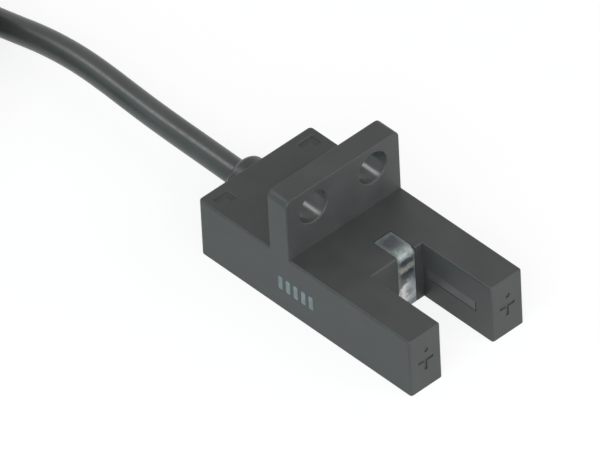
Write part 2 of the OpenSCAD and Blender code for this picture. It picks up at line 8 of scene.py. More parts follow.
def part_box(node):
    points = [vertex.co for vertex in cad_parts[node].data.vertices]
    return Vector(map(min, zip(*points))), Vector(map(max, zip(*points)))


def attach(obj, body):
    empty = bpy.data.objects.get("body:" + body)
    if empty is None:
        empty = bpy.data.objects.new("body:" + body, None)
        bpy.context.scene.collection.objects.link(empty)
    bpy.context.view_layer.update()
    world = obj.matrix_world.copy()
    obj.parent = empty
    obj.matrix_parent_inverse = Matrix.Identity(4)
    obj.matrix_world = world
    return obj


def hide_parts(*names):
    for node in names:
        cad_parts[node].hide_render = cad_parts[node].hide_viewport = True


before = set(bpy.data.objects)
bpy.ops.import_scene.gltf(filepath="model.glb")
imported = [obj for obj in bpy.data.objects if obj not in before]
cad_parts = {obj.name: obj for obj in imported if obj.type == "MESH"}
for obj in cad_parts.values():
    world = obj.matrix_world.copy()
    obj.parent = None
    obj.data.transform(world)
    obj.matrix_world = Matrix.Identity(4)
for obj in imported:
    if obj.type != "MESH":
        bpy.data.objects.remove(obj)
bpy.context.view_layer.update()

# Fork photoelectric sensor: black moulded fork with a flange, clear light guide, round cable.
# Meshes are modelled in millimetres and brought down to metres by finishPiece; tubes are made in metres.
mm = 0.001
tiny = 0.001
loose = 0.01   # how far a point may lie from where it is looked for
past = 0.5     # how far a cutter runs past what it cuts
faceOn = 0.9   # least share of an axis in the normal of a face that looks along it


def frameBox(node):
    # lowest and highest corner of a CAD node, in millimetres
    low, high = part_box(node)
    return Vector(low) / mm, Vector(high) / mm


housingLow, housingHigh = frameBox("housing")


# Small tools for modelling

def deselectAll():
    if bpy.context.object and bpy.context.object.mode != "OBJECT":
        bpy.ops.object.mode_set(mode="OBJECT")
    bpy.ops.object.select_all(action="DESELECT")


def takeUp(piece):
    # only this piece is selected and active
    deselectAll()
    piece.select_set(True)
    bpy.context.view_layer.objects.active = piece


def applyPlace(piece):
    # its place, turn and scale go into its mesh
    takeUp(piece)
    bpy.ops.object.transform_apply(location=True, rotation=True, scale=True)


def openMesh(piece, kind):
    # edit mode with nothing selected
    takeUp(piece)
    bpy.ops.object.mode_set(mode="EDIT")
    bpy.ops.mesh.select_mode(type=kind)
    bpy.ops.mesh.select_all(action="DESELECT")
    return bmesh.from_edit_mesh(piece.data)


def pickFaces(piece, test):
    mesh = openMesh(piece, "FACE")
    for face in mesh.faces:
        face.select_set(bool(test(face.calc_center_median(), face.normal)))
    bmesh.update_edit_mesh(piece.data)


def pickEdges(piece, test):
    mesh = openMesh(piece, "EDGE")
    for edge in mesh.edges:
        edge.select_set(bool(test(edge.verts[0].co, edge.verts[1].co)))
    bmesh.update_edit_mesh(piece.data)


def giveMaterials(piece, choose):
    # choose makes a material's number out of a face's centre and normal
    mesh = openMesh(piece, "FACE")
    for face in mesh.faces:
        face.material_index = choose(face.calc_center_median(), face.normal)
    bmesh.update_edit_mesh(piece.data)
    bpy.ops.object.mode_set(mode="OBJECT")


def near(value, target, slack=0.004):
    return abs(value - target) < slack


def upright(a, b):
    return near(a.x, b.x) and near(a.y, b.y)


def bothEnds(test):
    # makes a test of one point into a test of an edge
    return lambda a, b: test(a) and test(b)


def inside(point, low, high):
    return all(low[i] - loose < point[i] < high[i] + loose for i in range(3))


def addBox(name, low, high):
    centre = [(a + b) / 2 for a, b in zip(low, high)]
    sides = [b - a for a, b in zip(low, high)]
    deselectAll()
    bpy.ops.mesh.primitive_cube_add(size=1, location=centre, scale=sides)
    box = bpy.context.object
    box.name = name
    applyPlace(box)
    return box


def addRod(name, radius, start, end, sides=64):
    # cylinder between two points that differ along one axis
    start, end = Vector(start), Vector(end)
    line = end - start
    deselectAll()
    bpy.ops.mesh.primitive_cylinder_add(vertices=sides, radius=radius, depth=line.length,
                                        location=(start + end) / 2,
                                        rotation=Vector((0, 0, 1)).rotation_difference(line).to_euler())
    rod = bpy.context.object
    rod.name = name
    applyPlace(rod)
    return rod


def mergeDoubles(piece, kind):
    # leaves the whole mesh selected in edit mode
    openMesh(piece, kind)
    bpy.ops.mesh.select_all(action="SELECT")
    bpy.ops.mesh.remove_doubles(threshold=tiny / 4)


def tidyMesh(piece, flatWithin=0.4):
    # dissolves the edges inside faces that are flat within some degrees
    mergeDoubles(piece, "VERT")
    bpy.ops.mesh.dissolve_limited(angle_limit=math.radians(flatWithin))
    bpy.ops.object.mode_set(mode="OBJECT")


def fixNormals(piece):
    mergeDoubles(piece, "FACE")
    bpy.ops.mesh.normals_make_consistent(inside=False)
    bpy.ops.object.mode_set(mode="OBJECT")


def combine(piece, others, how="DIFFERENCE"):
    for other in others:
        takeUp(piece)
        step = piece.modifiers.new("combine", "BOOLEAN")
        step.operation, step.solver, step.object = how, "EXACT", other
        bpy.ops.object.modifier_apply(modifier=step.name)
        bpy.data.objects.remove(other)
    tidyMesh(piece)


def roundEdges(piece, test, width, segments=2):
    pickEdges(piece, test)
    bpy.ops.mesh.bevel(offset=width, segments=segments, affect="EDGES", clamp_overlap=True)
    bpy.ops.object.mode_set(mode="OBJECT")


def extrudeAlong(step):
    bpy.ops.mesh.extrude_region_move(TRANSFORM_OT_translate={"value": step})


def pushFaces(piece, test, step):
    pickFaces(piece, test)
    extrudeAlong(step)
    bpy.ops.object.mode_set(mode="OBJECT")


def addObject(name, data):
    made = bpy.data.objects.new(name, data)
    bpy.context.scene.collection.objects.link(made)
    return made


def joinPieces(pieces):
    takeUp(pieces[0])
    for piece in pieces:
        piece.select_set(True)
    bpy.ops.object.join()
    return pieces[0]


def handOver(piece, stands=()):
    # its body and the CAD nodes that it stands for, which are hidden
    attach(piece, "root")
    if stands:
        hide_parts(*stands)
    return piece


def finishPiece(piece, name, materials, stands=(), smooth=32, flatFirst=True):
    # metres, smooth shading with true flats, materials
    piece.name = piece.data.name = name
    piece.scale = (mm, mm, mm)
    applyPlace(piece)
    bpy.ops.object.shade_smooth_by_angle(angle=math.radians(smooth))
    if flatFirst:
        weighted = piece.modifiers.new("flats", "WEIGHTED_NORMAL")
        weighted.keep_sharp = True
        bpy.ops.object.modifier_apply(modifier=weighted.name)
    for material in materials:
        piece.data.materials.append(material)
    return handOver(piece, stands)


# Materials

def colour(code):
    # sRGB hex to the linear values that the shaders take
    parts = [int(code[i:i + 2], 16) / 255 for i in (1, 3, 5)]
    return [p / 12.92 if p <= 0.04045 else ((p + 0.055) / 1.055) ** 2.4 for p in parts] + [1.0]


def addNode(tree, kind, inputs=None, **settings):
    made = tree.nodes.new(kind)
    for name, value in settings.items():
        setattr(made, name, value)
    for name, value in (inputs or {}).items():
        if isinstance(value, bpy.types.NodeSocket):
            tree.links.new(value, made.inputs[name])
        else:
            made.inputs[name].default_value = value
    return made


def mathNode(tree, operation, *values):
    return addNode(tree, "ShaderNodeMath", dict(enumerate(values)), operation=operation).outputs[0]


def startMaterial(name):
    material = bpy.data.materials.new(name)
    material.use_nodes = True
    tree = material.node_tree
    tree.nodes.clear()
    place = addNode(tree, "ShaderNodeTexCoord").outputs["Object"]
    return material, tree, place


def noise(tree, place, size, detail=2.0, rough=0.5):
    # size is the width of one blotch in millimetres
    return addNode(tree, "ShaderNodeTexNoise", {"Vector": place, "Scale": 1 / (size * mm), "Detail": detail,
                                                "Roughness": rough}).outputs["Fac"]


def spread(tree, value, low, high, fromLow=0.35, fromHigh=0.65):
    return addNode(tree, "ShaderNodeMapRange", {"Value": value, "From Min": fromLow, "From Max": fromHigh,
                                                "To Min": low, "To Max": high}).outputs["Result"]


def blendColours(tree, factor, first, second):
    # each colour is a hex value or another node's output
    first, second = (colour(shade) if isinstance(shade, str) else shade for shade in (first, second))
    return addNode(tree, "ShaderNodeMix", {0: factor, 6: first, 7: second}, data_type="RGBA").outputs[2]


def cloudy(tree, place, size, dark, light, detail=2.0):
    # two close tones in soft clouds
    return blendColours(tree, spread(tree, noise(tree, place, size, detail), 0.0, 1.0), dark, light)


def colourRamp(tree, value, stops):
    # stops are places in millimetres with their colours
    low, high = stops[0][0], stops[-1][0]
    share = spread(tree, value, 0.0, 1.0, low * mm, high * mm)
    made = addNode(tree, "ShaderNodeValToRGB", {"Fac": share})
    row = made.color_ramp.elements
    row[0].color, row[1].color = colour(stops[0][1]), colour(stops[-1][1])
    for spot, code in stops[1:-1]:
        row.new((spot - low) / (high - low)).color = colour(code)
    return made.outputs["Color"]


def bump(tree, height, depth, strength):
    # depth is the height of the relief in millimetres
    return addNode(tree, "ShaderNodeBump", {"Height": height, "Distance": depth * mm,
                                            "Strength": strength}).outputs["Normal"]


def endMaterial(material, tree, **inputs):
    named = {name.replace("_", " "): value for name, value in inputs.items()}
    surface = addNode(tree, "ShaderNodeBsdfPrincipled", named)
    addNode(tree, "ShaderNodeOutputMaterial", {"Surface": surface.outputs["BSDF"]})
    return material


def mouldedPlastic(name, dark, light, rough, relief=0.004, level=0.3):
    # black plastic from a spark-eroded mould: an even fine grain, satin, with faint flow clouds
    material, tree, place = startMaterial(name)
    clouds = noise(tree, place, 3.2, 3.0)
    sparks = noise(tree, place, 0.14, 3.0, 0.6)
    shade = blendColours(tree, spread(tree, clouds, 0.0, 1.0), dark, light)
    dull = spread(tree, clouds, rough - 0.03, rough + 0.04)
    return endMaterial(material, tree, Base_Color=shade, Roughness=dull, Specular_IOR_Level=level, IOR=1.5,
                       Normal=bump(tree, sparks, relief, 0.8))


def clearPolycarbonate():
    # clear polished polycarbonate, injection moulded: high refraction, a hint of smoke, faint flow waves
    material, tree, place = startMaterial("clear_polycarbonate")
    waves = noise(tree, place, 0.9, 1.0)
    return endMaterial(material, tree, Base_Color=colour("#eef4f3"), Roughness=0.04, IOR=1.585,
                       Transmission_Weight=1.0, Normal=bump(tree, waves, 0.02, 0.6))


def hazyPolycarbonatePaintedLight(tones):
    # the outside of the light guide: clear polycarbonate over its black-lacquered back, glassy, with its
    # light painted into the colour:
    # painted dark stretches, painted bright patches at the bend and a painted glow ring at the foot, where
    # the real guide lets daylight out
    material, tree, place = startMaterial("hazy_polycarbonate_painted_light")
    wander = noise(tree, place, tones["blotch"], 2.0)
    speckle = noise(tree, place, tones["speckle"], 1.0)
    spot = addNode(tree, "ShaderNodeSeparateXYZ", {"Vector": place}).outputs

    def shifted(value, amount):
        return mathNode(tree, "MULTIPLY_ADD", wander, amount * mm, value)

    def rising(value, ends, high=1.0, low=0.0):
        # from low to high between two places in millimetres
        return spread(tree, value, low, high, ends[0] * mm, ends[1] * mm)

    # the painted glow at the foot lies as a ring round one place, white on its left and cooler on its right
    away = addNode(tree, "ShaderNodeVectorMath", {0: place, 1: Vector(tones["glowAt"]) * mm},
                   operation="DISTANCE").outputs["Value"]
    glow = colourRamp(tree, shifted(away, tones["glowWander"]), tones["foot"])
    glow = blendColours(tree, rising(spot["X"], tones["coolFrom"], tones["coolShare"]), glow, tones["cool"])
    wall = colourRamp(tree, shifted(spot["Z"], tones["wander"]), tones["down"])
    lower = blendColours(tree, rising(spot["Z"], tones["footTop"]), glow, wall)
    onRoof = colourRamp(tree, shifted(spot["Y"], tones["wander"]), tones["along"])
    shade = blendColours(tree, rising(spot["Z"], tones["bendFrom"]), lower, onRoof)
    # a painted highlight as a frayed rim along both sides, and dull specks, both fainter over the painted
    # glow
    offset = mathNode(tree, "ABSOLUTE", mathNode(tree, "SUBTRACT", spot["X"], tones["middle"] * mm))
    frayed = mathNode(tree, "MULTIPLY_ADD", speckle, tones["fray"] * mm, offset)
    rim = rising(frayed, tones["rimFrom"], tones["rimShare"])
    dull = spread(tree, speckle, 0.0, tones["dullShare"], *tones["dullFrom"])
    aboveGlow = rising(spot["Z"], tones["glowTop"], low=0.1)
    for share, tone in ((rim, "rim"), (dull, "dull")):
        shade = blendColours(tree, mathNode(tree, "MULTIPLY", share, aboveGlow), shade, tones[tone])
    # the painted colour also feeds the emission, so the guide glows faintly though it is no lamp
    return endMaterial(material, tree, Base_Color=shade, Roughness=0.3, IOR=1.585, Transmission_Weight=0.25,
                       Coat_Weight=0.3, Coat_Roughness=0.06, Emission_Color=shade, Emission_Strength=0.1,
                       Normal=bump(tree, wander, 0.006, 0.6))


def plainFinish(name, size, dark, light, grain, relief, strength=0.5, detail=2.0, **look):
    # two close tones in clouds over a fine relief: widths and height in millimetres
    material, tree, place = startMaterial(name)
    return endMaterial(material, tree, Base_Color=cloudy(tree, place, size, dark, light),
                       Normal=bump(tree, noise(tree, place, grain, detail), relief, strength), **look)


def backLacquer():
    # lacquer on the back of the light guide, which keeps light in between its two ends: painted mid grey
    # rather than black, as painted light for the little light that reaches it through the strip
    return plainFinish("guide_back_lacquer_lightened", 0.6, "#6a6b71", "#85868c", 0.3, 0.003, Roughness=0.3, IOR=1.5)


def filterPolycarbonate():
    # polycarbonate dyed to pass infrared only: dark with a cool cast, satin face
    return plainFinish("filter_polycarbonate", 1.5, "#484a4d", "#4e5053", 1.2, 0.003, detail=1.0,
                       Roughness=0.4, Specular_IOR_Level=0.32, IOR=1.585)


def jacketPvc():
    # extruded black PVC: soft sheen, slightly uneven, with dust-fine scuffs along it
    material, tree, place = startMaterial("jacket_pvc")
    scuffs = noise(tree, place, 0.35, 4.0, 0.65)
    shade = cloudy(tree, place, 4.0, "#3f4140", "#464847")
    return endMaterial(material, tree, Base_Color=shade, Roughness=spread(tree, scuffs, 0.3, 0.36),
                       Specular_IOR_Level=0.36, IOR=1.52, Normal=bump(tree, scuffs, 0.003, 0.6))


def softBushing():
    # black thermoplastic elastomer: duller than the jacket, with a fine matt grain
    material, tree, place = startMaterial("bushing_elastomer")
    grain = noise(tree, place, 0.16, 3.0, 0.6)
    shade = cloudy(tree, place, 1.8, "#3a3b3c", "#414243")
    return endMaterial(material, tree, Base_Color=shade, Roughness=spread(tree, grain, 0.34, 0.46),
                       Specular_IOR_Level=0.32, IOR=1.5, Normal=bump(tree, grain, 0.005, 0.7))


def polishedLip():
    # the same elastomer where the mould is polished round the cable's mouth: a small sharp glint
    return plainFinish("polished_bushing_lip", 1.8, "#3a3b3c", "#414243", 0.3, 0.002,
                       Roughness=0.22, Specular_IOR_Level=0.7, IOR=1.5)


def corePvc(name, dark, light):
    # thin PVC insulation of a core wire, extruded: even colour, satin
    return plainFinish(name, 1.1, dark, light, 0.25, 0.004, Roughness=0.38, IOR=1.52)


def metal(name, dark, light, rough, grain, relief):
    # tinned or bare metal with drawn or crimped marks; the grain size is in millimetres
    material, tree, place = startMaterial(name)
    marks = noise(tree, place, grain, 3.0, 0.6)
    shade = blendColours(tree, spread(tree, marks, 0.0, 1.0), dark, light)
    return endMaterial(material, tree, Base_Color=shade, Metallic=1.0,
                       Roughness=spread(tree, marks, rough - 0.05, rough + 0.08),
                       Normal=bump(tree, marks, relief, 0.6))


def castEpoxy(name, dark, light, rough, clear=0.0):
    # transfer-moulded epoxy of the packages: fine even grain, or clear and tinted
    return plainFinish(name, 0.5, dark, light, 0.09, 0.003, strength=0.6, detail=3.0,
                       Roughness=rough, IOR=1.54, Transmission_Weight=clear)


def solderMask():
    # glass-fibre laminate under green solder mask, with tracks that stand out faintly below it
    material, tree, place = startMaterial("solder_mask")
    layout = {"Scale": 1 / (1.3 * mm), "Mortar Size": 0.12, "Color1": (0, 0, 0, 1),
              "Color2": (0.15, 0.15, 0.15, 1), "Mortar": (1, 1, 1, 1)}
    tracks = addNode(tree, "ShaderNodeTexBrick", {"Vector": place, **layout}).outputs["Color"]
    shade = blendColours(tree, tracks, "#153822", "#215234")
    return endMaterial(material, tree, Base_Color=shade, Roughness=0.32, IOR=1.52,
                       Normal=bump(tree, tracks, 0.02, 0.6))


def sinteredCeramic(name, dark, light, rough):
    # fired ceramic body of a chip part: fine speckle, slightly glazed
    material, tree, place = startMaterial(name)
    shade = cloudy(tree, place, 0.12, dark, light, 3.0)
    return endMaterial(material, tree, Base_Color=shade, Roughness=rough, IOR=1.6,
                       Normal=bump(tree, noise(tree, place, 0.1), 0.003, 0.5))


def padInk():
    # pale grey pad-printed ink: thin and matt, faintly uneven over the mould grain
    material, tree, place = startMaterial("pad_ink")
    film = noise(tree, place, 0.5)
    shade = blendColours(tree, spread(tree, film, 0.0, 1.0), "#6f7678", "#7f8789")
    return endMaterial(material, tree, Base_Color=shade, Roughness=0.62, Specular_IOR_Level=0.3, IOR=1.48,
                       Normal=bump(tree, film, 0.004, 0.5))


def tieVinyl():
    # vinyl-covered tie: translucent pale grey, with the wire showing as a faint ridge
    return plainFinish("tie_vinyl", 1.4, "#c9cac5", "#d9dad4", 0.5, 0.01, Roughness=0.36, IOR=1.53,
                       Subsurface_Weight=0.15, Subsurface_Scale=0.4 * mm)


housingPlastic = mouldedPlastic("moulded_pbt", "#3f4040", "#454646", 0.46)
rubbedPlastic = mouldedPlastic("rubbed_pbt_edge", "#3d3e3e", "#444545", 0.44, relief=0.002)
# the holes' walls: the same PBT, polished, its colour painted lighter than the housing's to lift the shade
# in the holes
boreLightenedPlastic = mouldedPlastic("polished_pbt_bore_lightened", "#4a4c4c", "#505252", 0.25, relief=0.0003, level=0.42)
coverPlastic = mouldedPlastic("moulded_cover_polycarbonate", "#38393a", "#3e3f40", 0.4)
clearPlastic = clearPolycarbonate()
# painted light on the light guide: bright and dark stretches, the glow ring at the foot and the highlighted
# rims
guidePaintedLight = {  # in millimetres, and places from the frame's origin
    "blotch": 0.5, "wander": 0.9, "speckle": 0.42, "middle": 1.1, "fray": 0.4,
    "rim": "#757d7b", "rimShare": 0.85, "rimFrom": (0.8, 1.15),
    "dull": "#55595d", "dullShare": 0.6, "dullFrom": (0.5, 0.68),
    "footTop": (3.4, 3.9), "glowTop": (2.2, 3.0), "bendFrom": (5.6, 5.8),
    "along": [(-4.5, "#a3aeab"), (-4.0, "#929d9a"), (-3.5, "#7a8582"), (-3.1, "#565b5b"), (-2.7, "#4a4a50"),
              (-1.95, "#48494d"), (-1.65, "#636a6a"), (-1.2, "#7b8280")],
    "down": [(4.0, "#3a3b3f"), (4.5, "#3e3f43"), (4.75, "#aaacaa"), (4.95, "#a29f92"), (5.3, "#8a8779"),
             (5.5, "#464750"), (5.8, "#3c3e48"), (6.1, "#8b9694")],
    "glowAt": (1.25, -4.7, 1.8), "glowWander": 1.2,
    "cool": "#7d848e", "coolShare": 0.6, "coolFrom": (0.7, 1.5),
    "foot": [(0.4, "#848d96"), (0.8, "#949ca3"), (1.05, "#c3c7c8"), (1.2, "#fafaf8"), (1.6, "#fafaf8"),
             (1.78, "#b4b5b4"), (1.95, "#77777a"), (2.2, "#4e4d50"), (2.7, "#424346")],
}
guideFinishes = [clearPlastic, hazyPolycarbonatePaintedLight(guidePaintedLight), backLacquer()]
filterPlastic = filterPolycarbonate()
jacketPlastic = jacketPvc()
bushingFinishes = [softBushing(), polishedLip()]
tiePlastic = tieVinyl()
inkPaint = padInk()
bareCopper = metal("bare_copper_strand", "#b8704a", "#d08a60", 0.3, 0.3, 0.004)
crimpSteel = metal("crimped_tinned_steel", "#a9abad", "#c4c6c8", 0.34, 0.2, 0.01)
coreColours = {
    "core_brown": ("#5e3a22", "#6d4529"), "core_black": ("#222223", "#2a2a2b"),
    "core_white": ("#dcdad2", "#e8e6df"), "core_blue": ("#2a5594", "#3263a8"),
}
corePlastics = {name: corePvc(name + "_pvc", *tones) for name, tones in coreColours.items()}
innerMaterials = {
    "infrared_emitter": castEpoxy("tinted_clear_epoxy", "#b7a3b4", "#c9b8c4", 0.12, 0.6),
    "light_receiver": castEpoxy("daylight_filter_epoxy", "#1b1b1f", "#242428", 0.16),
    "circuit_board": solderMask(),
    "control_chip": castEpoxy("moulded_chip_epoxy", "#242528", "#2c2d30", 0.5),
    "output_transistor": castEpoxy("moulded_transistor_epoxy", "#232427", "#2b2c2f", 0.5),
    "protection_diode": castEpoxy("moulded_diode_epoxy", "#28282b", "#303033", 0.46),
    "indicator_led": castEpoxy("indicator_resin", "#ddd6b4", "#efe9cc", 0.22),
    "chip_resistors": sinteredCeramic("resistor_glaze", "#2c2c33", "#3a3a42", 0.3),
    "chip_capacitors": sinteredCeramic("capacitor_ceramic", "#a88459", "#bb9669", 0.42),
    "crimp_ring": crimpSteel,
    "base_cover": coverPlastic,
}
for nodeName, material in innerMaterials.items():
    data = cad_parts[nodeName].data
    data.materials.clear()
    data.materials.append(material)
print("materials ready")


# Camera: a very long lens, because the photograph shows no perspective

photoView = {
    "target": (-2.341, 5.049, 5.59),  # millimetres
    "azimuth": -41.166, "elevation": 41.883, "roll": 3.021,  # degrees
    "distance": 1442.377, "lens": 1000, "sensor": 36,
    "nearest": 0.05, "farthest": 6,  # metres
}


def addCamera():
    turn, lift, roll = (math.radians(photoView[name]) for name in ("azimuth", "elevation", "roll"))
    back = Vector((math.sin(turn) * math.cos(lift), -math.cos(turn) * math.cos(lift), math.sin(lift)))
    level = Vector((math.cos(turn), math.sin(turn), 0))
    steep = back.cross(level)
    across = level * math.cos(roll) - steep * math.sin(roll)
    upwards = level * math.sin(roll) + steep * math.cos(roll)
    data = bpy.data.cameras.new("photo_camera")
    data.lens, data.sensor_width = photoView["lens"], photoView["sensor"]
    data.clip_start, data.clip_end = photoView["nearest"], photoView["farthest"]
    camera = addObject("photo_camera", data)
    spot = (Vector(photoView["target"]) + back * photoView["distance"]) * mm
    camera.matrix_world = Matrix.Translation(spot) @ Matrix((across, upwards, back)).transposed().to_4x4()
    bpy.context.scene.camera = camera


addCamera()


# Cable: 1 m long, straight back out of its bushing, down to the floor and into a tied coil

cable = {
    "diameter": 2.5, "length": 1000, "exitY": 15.0,
    "route": [  # as it lies
        (0, 10.25, 3.45), (0, 15.0, 3.45), (0.05, 18, 3.45), (0.09, 21, 3.45), (0.13, 24, 3.45),
        (0.21, 27, 3.45), (0.35, 30, 3.45), (0.52, 33, 3.43), (0.62, 36, 3.35), (0.62, 39, 3.11),
        (0.54, 42, 2.66), (0.37, 45, 2.08), (0.18, 48, 1.57), (0.05, 51, 1.29), (0, 54, 1.27),
        (0, 56.3, 1.27),
    ],
}
winding = {
    "middleRadius": 14.5, "pitch": 2.55, "turnsAcross": 4, "layers": 3,
    "firstShift": 300, "shiftLag": 30, "shiftSpan": 110,  # degrees along the winding
    "end": 3694.5, "step": 15, "lift": 0.02,
}
tie = {
    "angle": 60, "reach": 30,  # degrees
    "width": 2.4, "thick": 0.35, "wallShare": 0.9, "slack": 0.05, "innerSlack": 0.12, "corner": 0.9,
    "edge": 0.08, "twistIn": 2, "twistUp": 0.4, "twistLong": 7.0, "halfTurns": 7, "steps": 36,
    "strand": 0.29, "flare": 0.12, "flareFrom": 0.85, "flareSpan": 0.15,
}
outerTrack = winding["middleRadius"] + (winding["turnsAcross"] - 1) / 2 * winding["pitch"]
innerTrack = winding["middleRadius"] * 2 - outerTrack
coilCentre = Vector((-outerTrack, cable["route"][-1][1], winding["lift"]))
coilTop = winding["layers"] * cable["diameter"]


def ease(share):
    # smooth step from 0 to 1
    return (1 - math.cos(math.pi * min(1, max(0, share)))) / 2


def aroundCoil(radius, turned, height):
    return coilCentre + Vector((radius * math.cos(turned), radius * math.sin(turned), height))


def windingPoint(angle):
    # turns lie side by side in layers, inwards and outwards in turn, and rise over the tie's band
    radius, height = outerTrack, cable["diameter"] / 2
    span, shift = winding["shiftSpan"], winding["firstShift"]
    for layer in range(winding["layers"]):
        for _ in range(winding["turnsAcross"] - 1):
            radius += (-1) ** (layer + 1) * winding["pitch"] * ease((angle - shift) / span + 0.5)
            shift += 360
        shift -= winding["shiftLag"]
        height += cable["diameter"] * ease((angle - shift) / span + 0.5)
        shift += 360 - winding["shiftLag"]
    fromTie = (angle - tie["angle"] + 180) % 360 - 180
    height += tie["thick"] * ease(1 - abs(fromTie) / tie["reach"])
    return aroundCoil(radius, math.radians(angle), height)


def smoothTube(name, paths, diameter, sides=6, steps=4):
    # round tube along each path, in metres, as a live curve
    data = bpy.data.curves.new(name, "CURVE")
    data.dimensions, data.resolution_u = "3D", steps
    data.bevel_depth, data.bevel_resolution = diameter / 2 * mm, sides
    data.use_fill_caps = True
    for path in paths:
        spline = data.splines.new("BEZIER")
        spline.bezier_points.add(len(path) - 1)
        for point, place in zip(spline.bezier_points, path):
            point.co = Vector(place) * mm
            point.handle_left_type = point.handle_right_type = "AUTO"
    return addObject(name, data)


angles = [step * winding["step"] for step in range(1, int(winding["end"] / winding["step"]) + 1)]
cablePath = cable["route"] + [windingPoint(angle) for angle in angles + [winding["end"]]]
cablePiece = smoothTube("cable_jacket", [cablePath], cable["diameter"])
cablePiece.data.materials.append(jacketPlastic)
handOver(cablePiece, ["cable", "cable_coil"])
print("cable ready")


# Core wires: coloured insulation, stripped ends, and the inner ends that go down to the board

core = {
    "diameter": 0.7, "spread": 0.12, "tail": 18, "bare": 4.2, "lead": 0.4, "drop": 0.4, "dropRate": 3,
    "drift": 1.3, "widen": 0.35, "steps": 11, "strand": 0.2, "strands": 6, "lay": 3.2, "parts": 4,
    "landing": 1.1,
}
coreHoles = {"core_brown": 0.75, "core_black": -0.75, "core_white": -2.25, "core_blue": 2.25}
boardTop, coreHoleY = 2.6, 8.1


def coreTail(across, above):
    # follows the free rest of the last turn's track, settles and drifts inwards
    start = math.radians(winding["end"])
    track = outerTrack - 2 * winding["pitch"]
    level = coilTop - cable["diameter"] / 2 + above
    first = aroundCoil(track + across, start, level)
    path = [first, first + core["lead"] * Vector((-math.sin(start), math.cos(start), 0))]
    for step in range(1, core["steps"] + 1):
        share = step / core["steps"]
        radius = track + across * (1 + core["widen"] * share) - core["drift"] * share ** 2
        path.append(aroundCoil(radius, start + core["tail"] * share / track,
                               level - core["drop"] * min(1, core["dropRate"] * share)))
    return path


def coreInside(across, above, holeX):
    # from the jacket's end inside the housing down into the board, by small steps listed one by one
    jacketY, level = cable["route"][0][1], cable["route"][0][2] + above
    land = boardTop + core["landing"]
    return [
        (across, jacketY, level), (across, jacketY - 0.3, level),
        ((across + holeX) / 2, (jacketY + coreHoleY) / 2 + 0.1, (level + land) / 2),
        (holeX, coreHoleY + 0.4, land - 0.1), (holeX, coreHoleY + 0.05, land - 0.45),
        (holeX, coreHoleY, boardTop + 0.4), (holeX, coreHoleY, boardTop),
    ]


def strandPath(path, phase):
    # one strand laid round the middle of a path
    points, gone, parts = [], 0, core["parts"]
    for first, second in zip(path, path[1:]):
        line = Vector(second) - Vector(first)
        side = line.cross(Vector((0, 0, 1))).normalized()
        over = side.cross(line).normalized()
        for part in range(parts):
            turned = phase + 2 * math.pi * (gone + line.length * part / parts) / core["lay"]
            aside = side * math.cos(turned) + over * math.sin(turned)
            points.append(Vector(first) + line * part / parts + core["strand"] * aside)
        gone += line.length
    return points


def addCores():
    made = []
    for number, (name, holeX) in enumerate(coreHoles.items()):
        turned = math.radians(45 + 90 * number)
        offset = (core["diameter"] / 2 + core["spread"]) * math.sqrt(2)
        across, above = offset * math.cos(turned), offset * math.sin(turned)
        tail = coreTail(across, above)
        cut = len(tail) - 1 - round(core["bare"] / core["tail"] * core["steps"])
        sleeve = smoothTube(name + "_sleeve", [tail[:cut + 1], coreInside(across, above, holeX)],
                            core["diameter"], 4)
        strands = smoothTube(name + "_strands", [tail[cut - 1:]] +
                             [strandPath(tail[cut - 1:], 2 * math.pi * turn / core["strands"])
                              for turn in range(core["strands"])], core["strand"], 2, 1)
        parts = []
        for tube, material in ((sleeve, corePlastics[name]), (strands, bareCopper)):
            tube.data.materials.append(material)
            takeUp(tube)
            bpy.ops.object.convert(target="MESH")
            bpy.ops.object.shade_smooth()
            parts.append(tube)
        wire = joinPieces(parts)
        wire.name = wire.data.name = name + "_wire"
        made.append(handOver(wire, [name]))
    return made


coreWires = addCores()
print("cores ready")


# Tie round the coil: a flat covered wire with its two ends twisted

